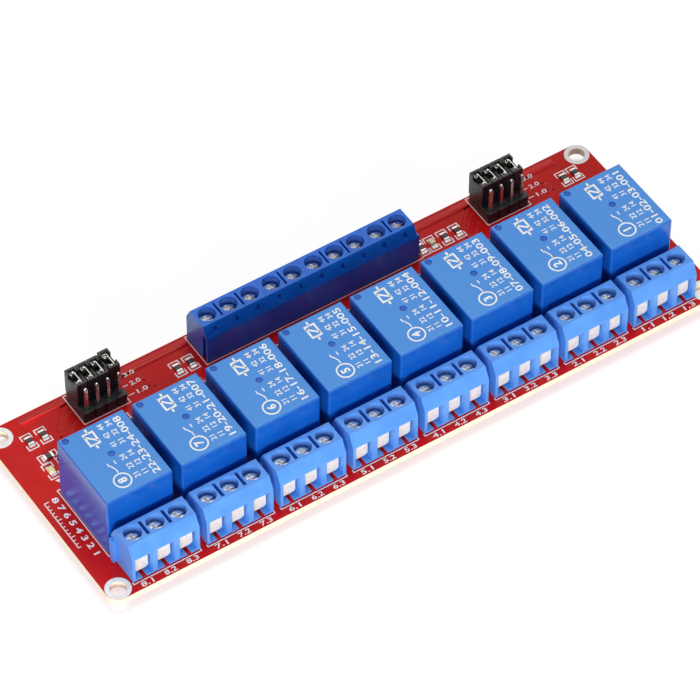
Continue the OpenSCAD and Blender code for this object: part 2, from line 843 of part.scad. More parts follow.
module optocouplers() {
    lead_w = 0.5;
    color("dimgray") every_part(opto_at) {
        translate([0, 0, lead_t / 2]) difference() {
            block(opto_l, opto_w, opto_h);
            translate([-opto_l / 2 + chip_w, opto_w / 2 - chip_w, opto_h - dimple_depth])
                cylinder(d = chip_w / 2, h = cut, $fn = 20);
        }
        for (s = [0, 180], y = [-1, 1]) rotate([0, 0, s])
            translate([opto_l / 2, y * pin_pitch / 2, 0]) lead(lead_w, opto_reach, opto_h / 3);
    }
}

module diodes() {
    color("black") every_part(diode_at) {
        translate([0, 0, lead_t / 2]) block(diode_l, diode_w, diode_h);
        for (s = [0, 180]) rotate([0, 0, s])
            translate([diode_l / 2 - lead_t, -diode_w / 4, 0])
                cube([3 * lead_t, diode_w / 2, diode_h / 2]);
    }
}

module transistors() {
    lead_w = 0.42;
    color("black") every_part(transistor_at) {
        translate([0, 0, lead_t / 2]) block(transistor_l, transistor_w, transistor_h);
        for (x = [-0.95, 0.95]) translate([x, -transistor_w / 2, 0]) rotate([0, 0, -90])
            lead(lead_w, 0.6, transistor_h / 3);
        translate([0, transistor_w / 2, 0]) rotate([0, 0, 90])
            lead(lead_w, 0.6, transistor_h / 3);
    }
}

// ---------------------------------------------------------------- nodes

circuit_board();
solder_joints();
for (k = [1 : channels]) {
    relay_cover(k);
    relay_armature(k);
    output_terminal(k);
}
relay_bases();
relay_pins();
relay_yokes();
relay_cores();
relay_bobbins();
relay_windings();
output_screws();
output_clamps();
output_contacts();
for (m = [1 : len(in_modules)])
    input_terminal(m);
input_screws();
input_clamps();
input_contacts();
header_base(-1);  // header_base_left
header_base(1);  // header_base_right
header_pins();
for (k = [1 : 2 * header_cols])
    jumper_cap(k);
resistors();
indicators();
optocouplers();
diodes();
transistors();
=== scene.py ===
# %% [markdown]
# # A relay module board, dressed in Blender
# Eight relays stand in a row on a red circuit board, each with a screw terminal in front of it.
# Behind them are the input terminal and two blocks of jumpers. The CAD frame already holds every
# piece at its real size. This lesson gives each surface its finish, rounds the moulded edges and
# adds what is too fine for the CAD: print, copper under the solder mask, solder on the chips,
# screw threads and the wire of the coils.

import json
import math
import random

import bmesh
import bpy
from mathutils import Matrix, Vector


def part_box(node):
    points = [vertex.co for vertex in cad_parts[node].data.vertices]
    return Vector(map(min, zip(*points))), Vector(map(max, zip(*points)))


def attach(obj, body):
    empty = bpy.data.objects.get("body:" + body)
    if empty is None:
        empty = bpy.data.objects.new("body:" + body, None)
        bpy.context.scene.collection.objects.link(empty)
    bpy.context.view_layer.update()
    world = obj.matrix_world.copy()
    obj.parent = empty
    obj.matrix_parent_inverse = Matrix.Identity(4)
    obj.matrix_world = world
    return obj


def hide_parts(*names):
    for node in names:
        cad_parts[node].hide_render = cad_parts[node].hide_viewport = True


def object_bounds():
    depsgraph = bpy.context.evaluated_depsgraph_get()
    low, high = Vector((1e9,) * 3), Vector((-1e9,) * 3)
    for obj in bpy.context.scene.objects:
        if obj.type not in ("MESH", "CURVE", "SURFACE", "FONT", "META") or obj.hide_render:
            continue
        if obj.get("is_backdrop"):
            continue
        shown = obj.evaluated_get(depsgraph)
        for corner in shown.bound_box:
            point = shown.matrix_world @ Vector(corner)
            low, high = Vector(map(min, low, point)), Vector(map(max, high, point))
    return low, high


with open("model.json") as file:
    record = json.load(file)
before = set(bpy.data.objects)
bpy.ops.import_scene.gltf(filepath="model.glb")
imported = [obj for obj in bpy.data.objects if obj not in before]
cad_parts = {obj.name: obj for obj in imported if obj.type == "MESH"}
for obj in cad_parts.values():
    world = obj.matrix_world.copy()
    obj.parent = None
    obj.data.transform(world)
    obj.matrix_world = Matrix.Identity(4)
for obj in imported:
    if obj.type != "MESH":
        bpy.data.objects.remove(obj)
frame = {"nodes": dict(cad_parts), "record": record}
cad_low, cad_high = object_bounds()
MM = 0.001
CHANNELS = 8
BODY_OF = {
    node: body
    for body, nodes in frame["record"]["behaviour"]["bodies"].items()
    for node in nodes
}
print(len(frame["nodes"]), "CAD nodes, box in mm:", [round(v / MM, 1) for v in cad_high - cad_low])

# %% [markdown]
# ## The camera
# The board is looked at from its front left, from half way up. A long lens from almost a metre
# away keeps the row of relays nearly parallel, as a product picture does. The camera's axes are
# worked out from its azimuth and elevation, so nothing has to be aimed by hand.

# %% Camera
CAMERA_AZIMUTH = math.radians(-33.425)
CAMERA_ELEVATION = math.radians(49.607)
CAMERA_ROLL = math.radians(0.179)
CAMERA_DISTANCE = 0.945888
CAMERA_LENS = 244.305
LOOK_AT = Vector((-7.19, -4.43, 9.6)) * MM
SLIDE_RIGHT = 2.304 * MM
SLIDE_UP = 3.296 * MM


def camera_axes():
    """The camera's right, up and back directions, roll included."""
    level = math.cos(CAMERA_ELEVATION)
    back = Vector((
        math.sin(CAMERA_AZIMUTH) * level,
        -math.cos(CAMERA_AZIMUTH) * level,
        math.sin(CAMERA_ELEVATION),
    ))
    right = Vector((math.cos(CAMERA_AZIMUTH), math.sin(CAMERA_AZIMUTH), 0))
    roll = Matrix.Rotation(CAMERA_ROLL, 3, back)
    return roll @ right, roll @ back.cross(right), back


right, up, back = camera_axes()
camera = bpy.data.objects.new("camera", bpy.data.cameras.new("camera"))
camera.data.lens = CAMERA_LENS
camera.matrix_world = Matrix.Translation(
    LOOK_AT + back * CAMERA_DISTANCE + right * SLIDE_RIGHT + up * SLIDE_UP
) @ Matrix((right, up, back)).transposed().to_4x4()
bpy.context.scene.collection.objects.link(camera)
bpy.context.scene.camera = camera
bpy.context.scene.view_settings.view_transform = "Standard"
print("camera at, in mm:", [round(v / MM) for v in camera.location])

# %% [markdown]
# ## Small tools for meshes
# Most pieces are made as a bmesh and then put on the CAD body that carries them. These helpers
# keep that in one place: `link_piece` turns a mesh into a piece that rides on its body, and
# `solids_of` finds the separate solids of a CAD node, so that places always come from the frame.


# %% Mesh helpers
JOIN_DISTANCE = 0.0005 * MM
FLAT_ANGLE = math.radians(0.5)


def link_piece(name, mesh, body="board"):
    """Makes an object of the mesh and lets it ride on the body."""
    piece = bpy.data.objects.new(name, mesh)
    bpy.context.scene.collection.objects.link(piece)
    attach(piece, body)
    return piece


def mesh_of(shape, name, *materials):
    """The bmesh as a mesh with these materials, and the bmesh freed."""
    mesh = bpy.data.meshes.new(name)
    shape.to_mesh(mesh)
    shape.free()
    for material in materials:
        mesh.materials.append(material)
    return mesh


def merged_copy(node):
    """A bmesh of a CAD node with its loose triangles joined into whole faces."""
    solid = bmesh.new()
    solid.from_mesh(frame["nodes"][node].data)
    bmesh.ops.remove_doubles(solid, verts=solid.verts, dist=JOIN_DISTANCE)
    bmesh.ops.dissolve_limit(
        solid, angle_limit=FLAT_ANGLE, verts=solid.verts[:], edges=solid.edges[:]
    )
    return solid


def shells(solid):
    """The faces of each separate solid of a bmesh."""
    found, seen = [], set()
    for start in solid.faces:
        if start in seen:
            continue
        seen.add(start)
        group, front = [], [start]
        while front:
            face = front.pop()
            group.append(face)
            for other in (f for edge in face.edges for f in edge.link_faces):
                if other not in seen:
                    seen.add(other)
                    front.append(other)
        found.append(group)
    return found


def corners(faces):
    """The lowest and the highest corner of some faces."""
    points = [v.co for face in faces for v in face.verts]
    return (
        Vector(min(p[axis] for p in points) for axis in range(3)),
        Vector(max(p[axis] for p in points) for axis in range(3)),
    )


def lies_along_x(low, high):
    """True for a box that is longer from left to right than from front to back."""
    return high.x - low.x > high.y - low.y


def solids_of(node):
    """The (lowest, highest) corners of each solid of a CAD node."""
    solid = merged_copy(node)
    boxes = [corners(faces) for faces in shells(solid)]
    solid.free()
    return boxes


BOARD_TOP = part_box("circuit_board")[1].z
print("the board's top is at", round(BOARD_TOP / MM, 2), "mm")

# %% [markdown]
# ## How the finishes are built
# A real plastic or metal surface is never one colour: it has faint clouds of tone, patches that
# shine a little more, and a fine grain. `finish` builds these three on a Principled shader from
# noise in Object coordinates, which are metres in the board's own frame. Values that are the
# same all over are set on the shader's own sockets.


# %% Finish helpers
def paint(red, green, blue):
    """A colour given as on a screen, 0 to 255, as the linear colour that a shader takes."""
    def linear(value):
        value /= 255
        return value / 12.92 if value <= 0.04045 else ((value + 0.055) / 1.055) ** 2.4
    return (linear(red), linear(green), linear(blue), 1)


def add_node(tree, kind, **inputs):
    """A shader node of that kind, with these values on its inputs."""
    made = tree.nodes.new("ShaderNode" + kind)
    for name, value in inputs.items():
        made.inputs[name.replace("_", " ")].default_value = value
    return made


def noise(tree, place, size, detail=2.0):
    """Noise whose features are about size mm across."""
    texture = add_node(tree, "TexNoise", Scale=1 / (size * MM), Detail=detail)
    tree.links.new(place, texture.inputs["Vector"])
    return texture.outputs["Fac"]


def scaled(tree, value, low, high, start=0.35, end=0.65):
    """A value that runs from low to high while the one given runs from start to end."""
    ramp = add_node(tree, "MapRange", From_Min=start, From_Max=end, To_Min=low, To_Max=high)
    tree.links.new(value, ramp.inputs["Value"])
    return ramp.outputs["Result"]


def mixed(tree, share, first, second):
    """A colour between two colours, either of which may be a socket."""
    mix = tree.nodes.new("ShaderNodeMix")
    mix.data_type = "RGBA"
    tree.links.new(share, mix.inputs["Factor"])
    for end, colour in (("A", first), ("B", second)):
        socket = next(s for s in mix.inputs if s.name == end and s.type == "RGBA")
        if isinstance(colour, bpy.types.NodeSocket):
            tree.links.new(colour, socket)
        else:
            socket.default_value = colour
    return next(s for s in mix.outputs if s.type == "RGBA")


def bumped(tree, shader, height, depth):
    """Lets the height raise the surface by depth mm, on top of what raises it already."""
    bump = add_node(tree, "Bump", Distance=depth * MM)
    tree.links.new(height, bump.inputs["Height"])
    if shader.inputs["Normal"].is_linked:
        tree.links.new(shader.inputs["Normal"].links[0].from_socket, bump.inputs["Normal"])
    tree.links.new(bump.outputs["Normal"], shader.inputs["Normal"])


def finish(name, dark, light, rough, patch, grain, depth, **fixed):
    """A material with clouds of tone, uneven shine and a fine grain, with its sizes in mm.

    The tone runs from dark to light in clouds as wide as patch, and the roughness between the
    two values of rough in patches a quarter as wide. grain and depth are those of the bump.
    The values in fixed are set on the shader's own sockets.
    """
    material = bpy.data.materials.new(name)
    material.use_nodes = True
    tree = material.node_tree
    shader = tree.nodes["Principled BSDF"]
    for socket, value in fixed.items():
        shader.inputs[socket.replace("_", " ")].default_value = value
    place = tree.nodes.new("ShaderNodeTexCoord").outputs["Object"]
    tone = scaled(tree, noise(tree, place, patch, 3), 0, 1)
    tree.links.new(mixed(tree, tone, dark, light), shader.inputs["Base Color"])
    shine = scaled(tree, noise(tree, place, patch / 4, 4), *rough)
    tree.links.new(shine, shader.inputs["Roughness"])
    bumped(tree, shader, noise(tree, place, grain), depth)
    return material


def parts_of(material):
    """The tree, the shader and the Object coordinates of a finish."""
    tree = material.node_tree
    place = next(n for n in tree.nodes if n.type == "TEX_COORD").outputs["Object"]
    return tree, tree.nodes["Principled BSDF"], place


def computed(tree, operation, *values):
    """The result of a Math node. Each value is a socket or a number."""
    made = tree.nodes.new("ShaderNodeMath")
    made.operation = operation
    for socket, value in zip(made.inputs, values):
        if isinstance(value, bpy.types.NodeSocket):
            tree.links.new(value, socket)
        else:
            socket.default_value = value
    return made.outputs[0]


def facing(tree, axis, start, end):
    """1 where the surface faces along that axis, either way, and 0 where it is edge-on."""
    split = tree.nodes.new("ShaderNodeSeparateXYZ")
    tree.links.new(tree.nodes.new("ShaderNodeNewGeometry").outputs["Normal"], split.inputs[0])
    return scaled(tree, computed(tree, "ABSOLUTE", split.outputs[axis]), 0, 1, start, end)


# %% [markdown]
# ## The circuit board's finish
# Solder mask is a glossy lacquer over glass cloth, so the weave shows faintly in the gloss. The
# sawn edges and the hole walls are bare laminate, which is tan. One material can do both: the
# surface normal tells a flat face from a wall.


# %% Board finishes
def woven(material, pitch, depth):
    """Adds the faint weave of the glass cloth to a mask finish."""
    tree, shader, place = parts_of(material)
    for direction in ("X", "Y"):
        wave = add_node(tree, "TexWave", Scale=0.1 / (pitch * MM), Distortion=0.4, Detail=1.0)
        wave.bands_direction = direction
        tree.links.new(place, wave.inputs["Vector"])
        bumped(tree, shader, wave.outputs["Fac"], depth)


def bare_walls(material, wall):
    """Gives the upright faces of a finish the colour of the bare laminate."""
    tree, shader, _ = parts_of(material)
    face_colour = shader.inputs["Base Color"].links[0].from_socket
    flat = facing(tree, "Z", start=0.4, end=0.6)
    tree.links.new(mixed(tree, flat, wall, face_colour), shader.inputs["Base Color"])


GLASS_PITCH = 0.55
WEAVE_DEPTH = 0.0012
MASK_IOR = 1.28
mask_red = finish(
    "solder_mask_red", paint(196, 16, 13), paint(208, 20, 16),
    rough=(0.16, 0.24), patch=14, grain=0.4, depth=0.001, IOR=MASK_IOR,
)
woven(mask_red, GLASS_PITCH, WEAVE_DEPTH)
bare_walls(mask_red, paint(250, 232, 206))
mask_over_copper = finish(
    "mask_over_copper", paint(204, 20, 17), paint(216, 26, 22),
    rough=(0.14, 0.22), patch=9, grain=0.4, depth=0.001, IOR=MASK_IOR,
)
white_ink = finish(
    "white_ink", paint(238, 238, 236), paint(250, 250, 248),
    rough=(0.5, 0.65), patch=1.2, grain=0.06, depth=0.002,
)
print("finishes so far:", len(bpy.data.materials))

# %% [markdown]
# ## Plastics
# The relay covers are moulded with a satin top and polished sides, which mirror the board
# beside them. Their tops are also painted a lighter blue, which is painted sheen of the
# overhead light. The screw terminals are a lighter blue, and the input block a deeper one.
# Jumpers and headers are black glass-filled nylon with a dull skin.


# %% Plastic finishes
FROST_GRAIN = 0.22
FROST_DEPTH = 0.006


def frosted_top(material, colour, rough):
    """Gives the level faces of a moulding a duller skin, and a lighter colour that is painted
    sheen.
    """
    tree, shader, place = parts_of(material)
    level = facing(tree, "Z", start=0.7, end=0.95)
    # The colour mixed onto the level faces is painted sheen; the roughness and the bump are the
    # real frosted skin.
    for socket, top_sheen_and_frost in (("Base Color", colour), ("Roughness", (rough,) * 3 + (1,))):
        polished = shader.inputs[socket].links[0].from_socket
        tree.links.new(mixed(tree, level, polished, top_sheen_and_frost), shader.inputs[socket])
    bumped(tree, shader, noise(tree, place, FROST_GRAIN), FROST_DEPTH)


relay_blue = finish(
    "relay_blue", paint(12, 84, 178), paint(18, 92, 188),
    rough=(0.12, 0.2), patch=7, grain=0.09, depth=0.004, IOR=1.55,
)
# The lighter blue of the tops is painted sheen of the overhead light, not the plastic's own colour.
frosted_top(relay_blue, paint(62, 138, 218), rough=0.55)
dimple_blue = finish(
    "relay_dimple", paint(18, 92, 186), paint(26, 102, 198),
    rough=(0.15, 0.25), patch=2, grain=0.09, depth=0.002,
)
terminal_blue = finish(
    "terminal_blue", paint(76, 142, 226), paint(86, 152, 234),
    rough=(0.3, 0.42), patch=4, grain=0.12, depth=0.004,
)
input_blue = finish(
    "input_terminal_blue", paint(8, 98, 206), paint(14, 108, 216),
    rough=(0.3, 0.42), patch=4, grain=0.12, depth=0.004,
)
nylon_black = finish(
    "nylon_black", paint(20, 20, 22), paint(34, 34, 36),
    rough=(0.32, 0.5), patch=2, grain=0.08, depth=0.006,
)
bobbin_black = finish(
    "bobbin_black", paint(26, 26, 28), paint(40, 40, 42),
    rough=(0.4, 0.55), patch=2, grain=0.1, depth=0.004,
)
epoxy_black = finish(
    "epoxy_black", paint(28, 28, 30), paint(42, 42, 44),
    rough=(0.45, 0.6), patch=1.5, grain=0.07, depth=0.006,
)
chip_black = finish(
    "chip_glaze", paint(34, 34, 38), paint(52, 52, 56),
    rough=(0.2, 0.35), patch=0.8, grain=0.05, depth=0.003,
)
lens_yellow = finish(
    "lens_resin", paint(226, 216, 150), paint(240, 232, 178),
    rough=(0.12, 0.25), patch=0.8, grain=0.05, depth=0.002,
)
carrier_white = finish(
    "carrier_white", paint(226, 222, 210), paint(240, 238, 230),
    rough=(0.35, 0.5), patch=0.8, grain=0.05, depth=0.003,
)

# %% [markdown]
# ## Metals
# Screws are nickel plated and bright, and pins are tinned. The yoke and the armature are zinc
# plated steel, the core is soft iron, and the moving spring is a copper alloy. On metal most of
# the look is in the roughness, so it varies more than on plastic. The pale plating of the clamp
# leaves is made only partly metallic, since a full metal would mirror the red board.

# %% Metal finishes
leaf_plate = finish(
    "leaf_plate", paint(240, 236, 222), paint(252, 249, 240),
    rough=(0.35, 0.5), patch=0.9, grain=0.05, depth=0.003, Metallic=0.4,
)
nickel = finish(
    "nickel_plate", paint(226, 224, 218), paint(242, 240, 234),
    rough=(0.14, 0.3), patch=0.9, grain=0.05, depth=0.003, Metallic=1,
)
tin = finish(
    "tin_plate", paint(208, 204, 198), paint(228, 224, 216),
    rough=(0.2, 0.36), patch=1.2, grain=0.06, depth=0.003, Metallic=1,
)
zinc = finish(
    "zinc_plate", paint(178, 180, 184), paint(204, 206, 208),
    rough=(0.25, 0.45), patch=2, grain=0.1, depth=0.004, Metallic=1,
)
soft_iron = finish(
    "soft_iron", paint(132, 132, 134), paint(158, 158, 160),
    rough=(0.3, 0.5), patch=1.5, grain=0.1, depth=0.004, Metallic=1,
)
spring_bronze = finish(
    "spring_bronze", paint(196, 132, 84), paint(216, 156, 104),
    rough=(0.2, 0.35), patch=2, grain=0.08, depth=0.003, Metallic=1,
)
enamelled_wire = finish(
    "enamelled_wire", paint(168, 74, 34), paint(196, 98, 48),
    rough=(0.18, 0.3), patch=0.8, grain=0.05, depth=0.002, Metallic=1,
)
solder = finish(
    "solder", paint(196, 196, 198), paint(222, 222, 224),
    rough=(0.16, 0.34), patch=0.7, grain=0.12, depth=0.01, Metallic=1,
)
print("finishes:", len(bpy.data.materials))

# %% [markdown]
# ## Dressing the CAD nodes
# A moulded or stamped edge is never perfectly sharp, and its small round is what catches the
# light. Each node gets a merged copy, with a Bevel modifier where its edges are to be rounded,
# and a Weighted Normal modifier keeps the flat faces flat. Where one solid has two materials,
# as a chip with its tinned ends, a test on the face's place in its solid picks the second one.


# %% Dress one node
SHARP_ANGLE = math.radians(32)


def dressed(node, material, bevel=0.0, second=None, where=None):
    """A copy of a CAD node with its finish and with its edges rounded by bevel, in mm.

    where(centre, low, high) takes the centre of a face and the corners of its solid, and is
    true for the faces that take the second material.
    """
    solid = merged_copy(node)
    if second:
        for faces in shells(solid):
            low, high = corners(faces)
            for face in faces:
                face.material_index = int(where(face.calc_center_bounds(), low, high))
    for face in solid.faces:
        face.smooth = True
    materials = [material, second] if second else [material]
    mesh = mesh_of(solid, node + "_finish", *materials)
    mesh.set_sharp_from_angle(angle=SHARP_ANGLE)
    piece = link_piece(node + "_finish", mesh, BODY_OF[node])
    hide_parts(node)
    if bevel:
        rounding = piece.modifiers.new("rounded edges", "BEVEL")
        rounding.width = bevel * MM
        rounding.segments = 2
        rounding.limit_method = "ANGLE"
        rounding.angle_limit = SHARP_ANGLE
    even = piece.modifiers.new("even shading", "WEIGHTED_NORMAL")
    even.keep_sharp = True
    return piece


def numbered(stem, count=CHANNELS):
    """The names of the nodes that are numbered from 1."""
    return [f"{stem}_{k}" for k in range(1, count + 1)]


# %% Dress the plastics
DIMPLE_DEPTHS = (0.1 * MM, 0.5 * MM)
DIMPLE_INSET = 1 * MM
INPUT_BLOCKS = 4


def in_dimple(centre, low, high):
    """True for the floors of the shallow dimples in a cover's top."""
    depth = high.z - centre.z
    inset = min(centre.x - low.x, high.x - centre.x)
    return DIMPLE_DEPTHS[0] < depth < DIMPLE_DEPTHS[1] and inset > DIMPLE_INSET


for node in numbered("relay_cover"):
    dressed(node, relay_blue, second=dimple_blue, where=in_dimple)
for node in numbered("output_terminal"):
    dressed(node, terminal_blue, 0.07)
for node in numbered("input_terminal", INPUT_BLOCKS):
    dressed(node, input_blue, 0.07)
for node in ("header_base_left", "header_base_right"):
    dressed(node, nylon_black, 0.08)
# The bases share relay_blue, so their level faces carry the same painted sheen.
dressed("relay_bases", relay_blue, 0.06)
dressed("relay_bobbins", bobbin_black, 0.06)


# %% Dress the metal parts
TOP_STARTS = 0.45


def on_top(centre, low, high):
    """True for the faces in the upper part of a solid."""
    return centre.z > low.z + TOP_STARTS * (high.z - low.z)


dressed("circuit_board", mask_red)
dressed("solder_joints", solder)
dressed("relay_pins", tin, 0.03)
dressed("relay_yokes", zinc, 0.08)
dressed("relay_cores", soft_iron, 0.05)
for node in numbered("relay_armature"):
    dressed(node, zinc, 0.04, spring_bronze, on_top)
dressed("output_screws", nickel, 0.04)
dressed("input_screws", nickel, 0.04)
dressed("output_clamps", leaf_plate, 0.04)
dressed("input_clamps", leaf_plate, 0.04)
dressed("output_contacts", tin, 0.03)
dressed("input_contacts", tin, 0.03)
dressed("header_pins", tin, 0.03)


# %% [markdown]
# ## Jumper caps and small parts
# A jumper cap is a black shell round a bright spring clip, two solids in one node. Chips have
# tinned ends on a dark body, and the black packages stand on tinned leads. Each test below says
# which faces are the metal ones. The lens of an indicator is the upper part of its solid.


# %% Dress the small parts
CAP_SHELL_LENGTH = 4.6 * MM
CHIP_BODY = 0.58
PACKAGE_BODY = 0.33
LEAD_RISE = 0.5


def is_clip(centre, low, high):
    """True for a cap's clip, which is shorter than its shell."""
    return high.y - low.y < CAP_SHELL_LENGTH


def chip_end(centre, low, high):
    """True for the metal ends of a chip, whichever way it lies."""
    axis = 0 if lies_along_x(low, high) else 1
    half = (high[axis] - low[axis]) / 2
    return abs(centre[axis] - (low[axis] + high[axis]) / 2) > CHIP_BODY * half


def lead(centre, low, high):
    """True for the leads of a package, which stand out past its body and keep low."""
    sides = max(abs(centre[a] - (low[a] + high[a]) / 2) / (high[a] - low[a]) for a in (0, 1))
    return sides > PACKAGE_BODY and centre.z < low.z + LEAD_RISE * (high.z - low.z)


for node in numbered("jumper_cap"):
    dressed(node, nylon_black, 0.05, tin, is_clip)
dressed("resistors", chip_black, 0.03, tin, chip_end)
dressed("indicators", carrier_white, 0.03, lens_yellow, on_top)
dressed("optocouplers", epoxy_black, 0.04, tin, lead)
dressed("diodes", epoxy_black, 0.04, tin, lead)
dressed("transistors", epoxy_black, 0.03, tin, lead)

# %% [markdown]
# ## Wire that winds round and round
# A coil and a screw thread are both a ridge that follows a helix, so one Geometry Nodes tree
# makes them both. A spiral curve is swept with a small round profile and put on every point of
# the object, then the copies are realised and turned into a plain mesh. The CAD roll of the
# winding stays as the lower layers of wire, and the CAD shank as the core of the thread.


# %% Geometry Nodes helpers
def new_tree(name, sizes):
    """An empty tree with a geometry input and output and one float input for each size."""
    tree = bpy.data.node_groups.new(name, "GeometryNodeTree")
    tree.interface.new_socket("Geometry", in_out="INPUT", socket_type="NodeSocketGeometry")
    for size in sizes:
        tree.interface.new_socket(size, in_out="INPUT", socket_type="NodeSocketFloat")
    tree.interface.new_socket("Geometry", in_out="OUTPUT", socket_type="NodeSocketGeometry")
    return tree, tree.nodes.new("NodeGroupInput").outputs, tree.nodes.new("NodeGroupOutput")


def geo_node(tree, kind, links=None, **values):
    """A geometry node with these values on its inputs and these sockets linked to them."""
    made = tree.nodes.new("GeometryNode" + kind)
    for name, value in values.items():
        made.inputs[name.replace("_", " ")].default_value = value
    for name, socket in (links or {}).items():
        tree.links.new(socket, made.inputs[name])
    return made


def close_tree(tree, geometry, material, output):
    """Realises what the tree made, sets its material and ends the tree."""
    real = geo_node(tree, "RealizeInstances", {"Geometry": geometry})
    finished = geo_node(tree, "SetMaterial", {"Geometry": real.outputs[0]}, Material=material)
    tree.links.new(finished.outputs[0], output.inputs[0])


def seed_mesh(points, edges=()):
    """The points, in mm, that a tree grows on."""
    mesh = bpy.data.meshes.new("seed")
    mesh.from_pydata([tuple(v * MM for v in p) for p in points], list(edges), [])
    return mesh


def grown(name, seed, tree, sizes):
    """Runs the tree on a mesh and keeps the result as a plain mesh that rides on the board."""
    host = bpy.data.objects.new(name + "_seed", seed)
    bpy.context.scene.collection.objects.link(host)
    growth = host.modifiers.new("growth", "NODES")
    growth.node_group = tree
    for socket in tree.interface.items_tree:
        if socket.in_out == "INPUT" and socket.name in sizes:
            growth[socket.identifier] = float(sizes[socket.name])
    bpy.context.view_layer.update()
    ready = host.evaluated_get(bpy.context.evaluated_depsgraph_get())
    mesh = bpy.data.meshes.new_from_object(ready)
    bpy.data.objects.remove(host)
    print(name, len(mesh.polygons), "faces")
    return link_piece(name, mesh)


def helix_tree(name, material, around):
    """A swept helix on every point. All its sizes are metres, but Turns is a count."""
    tree, size, output = new_tree(name, ["Radius", "Height", "Turns", "Wire"])
    spiral = geo_node(tree, "CurveSpiral", {
        "Rotations": size["Turns"], "Start Radius": size["Radius"],
        "End Radius": size["Radius"], "Height": size["Height"],
    }, Resolution=around)
    profile = geo_node(tree, "CurvePrimitiveCircle", {"Radius": size["Wire"]}, Resolution=5)
    swept = geo_node(tree, "CurveToMesh", {
        "Curve": spiral.outputs[0], "Profile Curve": profile.outputs[0],
    }, Fill_Caps=True)
    placed = geo_node(tree, "InstanceOnPoints", {
        "Points": size["Geometry"], "Instance": swept.outputs[0],
    })
    close_tree(tree, placed.outputs[0], material, output)
    return tree


def over_floors(boxes, rise):
    """A point over the middle of each box's floor, that many mm up, for a tree to grow on."""
    return [((a.x + b.x) / 2 / MM, (a.y + b.y) / 2 / MM, a.z / MM + rise) for a, b in boxes]


# %% Wind the coils
WIRE_RADIUS = 0.13
WIRE_PITCH = 2.1 * WIRE_RADIUS
WIRE_SUNK = 0.02
dressed("relay_windings", enamelled_wire)
coils = solids_of("relay_windings")
coil_size = (coils[0][1] - coils[0][0]) / MM
grown(
    "coil_wire",
    seed_mesh(over_floors(coils, WIRE_RADIUS)),
    helix_tree("turns of wire", enamelled_wire, around=24),
    {
        "Radius": (coil_size.x / 2 - WIRE_SUNK) * MM,
        "Height": (coil_size.z - 2 * WIRE_RADIUS) * MM,
        "Turns": round(coil_size.z / WIRE_PITCH),
        "Wire": WIRE_RADIUS * MM,
    },
)

# %% Cut the screw threads
THREAD_RIDGE = 0.11
THREAD_PITCH = 0.45
THREAD_LENGTH = 3.4
THREAD_START = 0.2
SHANK_RADIUS = 1.25
shanks = solids_of("output_screws") + solids_of("input_screws")
grown(
    "screw_threads",
    seed_mesh(over_floors(shanks, THREAD_START)),
    helix_tree("screw thread", nickel, around=20),
    {
        "Radius": SHANK_RADIUS * MM,
        "Height": THREAD_LENGTH * MM,
        "Turns": THREAD_LENGTH / THREAD_PITCH,
        "Wire": THREAD_RIDGE * MM,
    },
)

# %% [markdown]
# ## Where everything stands on the board
# All the print and the copper belongs to a part, so their places come from the boxes of the CAD
# nodes. Channel 8 is at the left end and channel 1 at the right, as on the CAD.


# %% Places from the frame, in mm
def box_mm(node):
    """The lowest and the highest corner of a CAD node, in mm."""
    low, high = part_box(node)
    return low / MM, high / MM


def middle(box):
    """The middle of a box."""
    return (box[0] + box[1]) / 2


def in_mm(boxes):
    """The boxes in mm, from left to right."""
    return sorted(((a / MM, b / MM) for a, b in boxes), key=lambda box: box[0].x)


TOP = BOARD_TOP / MM
POLE_REACH = 7
board = box_mm("circuit_board")
relays = {k: box_mm(f"relay_cover_{k}") for k in range(1, CHANNELS + 1)}
relay_middle = {k: middle(relays[k]) for k in relays}
terminals = {k: box_mm(f"output_terminal_{k}") for k in relays}
headers = [box_mm("header_base_left"), box_mm("header_base_right")]
input_blocks = [box_mm(node) for node in numbered("input_terminal", INPUT_BLOCKS)]
poles = in_mm(solids_of("output_screws"))
inputs = in_mm(solids_of("input_screws"))
chips = in_mm(solids_of("resistors"))
lamps = in_mm(solids_of("indicators"))


def poles_of(place):
    """The middles of the three screws in front of a relay, from left to right."""
    return [middle(pole) for pole in poles if abs(middle(pole).x - place.x) < POLE_REACH]


print(len(poles), "output poles,", len(inputs), "input poles,", len(chips), "resistors")

# %% [markdown]
# ## Copper under the mask
# Tracks and pours are etched copper under the lacquer. They stand up a little, so their edges
# catch the light, and the mask over them looks brighter. Each track is a path of points. The
# tree rounds its corners and sweeps a flat profile along it, as an etched track is drawn.

# %% Tracks along paths
COPPER_UP = 0.008
COPPER_SUNK = 0.006
TRACK_CORNER = 0.5
CORNER_STEPS = 3
END_INSET = 8


def track_tree(material):
    """Sweeps a flat strip along the edges of a mesh, with soft corners. Sizes are metres."""
    tree, size, output = new_tree("etched track", ["Width", "Thickness", "Corner"])
    path = geo_node(tree, "MeshToCurve", {"Mesh": size["Geometry"]})
    soft = geo_node(tree, "FilletCurve", {"Curve": path.outputs[0], "Radius": size["Corner"]})
    soft.mode = "POLY"
    soft.inputs["Count"].default_value = CORNER_STEPS
    soft.inputs["Limit Radius"].default_value = True
    level = geo_node(tree, "SetCurveNormal", {"Curve": soft.outputs[0]})
    level.mode = "Z_UP"
    section = geo_node(tree, "CurvePrimitiveQuadrilateral", {
        "Width": size["Width"], "Height": size["Thickness"],
    })
    swept = geo_node(tree, "CurveToMesh", {
        "Curve": level.outputs[0], "Profile Curve": section.outputs[0],
    }, Fill_Caps=True)
    close_tree(tree, swept.outputs[0], material, output)
    return tree


